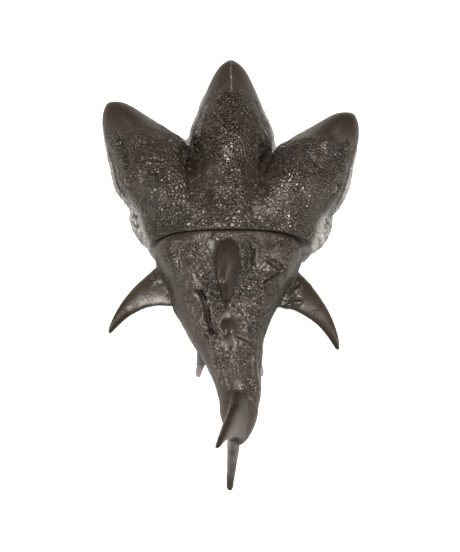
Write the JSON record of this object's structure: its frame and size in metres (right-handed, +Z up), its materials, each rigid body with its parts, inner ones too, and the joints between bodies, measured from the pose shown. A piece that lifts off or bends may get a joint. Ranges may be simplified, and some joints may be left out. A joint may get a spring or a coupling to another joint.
{
  "type": "three-headed shark figurine",
  "caption": "Toy shark figurine with several open-mouthed heads on one broad body, moulded in dark plastic, that rests on its belly.",
  "frame": {"origin": "on the floor, at the middle of the flat that the belly rests on", "axes": "+Z up, +Y along the body towards the tail, so the snouts point along -Y"},
  "size_m": [0.1223, 0.2016, 0.0793],
  "materials": {
    "front_plastic": "dark bronze-brown plastic, semi-gloss, hide texture moulded in",
    "rear_plastic": "dark bronze-brown plastic, semi-gloss, hide texture moulded in"
  },
  "bodies": {
    "root": {"three_heads": "front_plastic", "body_and_tail": "rear_plastic"}
  },
  "joints": []
}
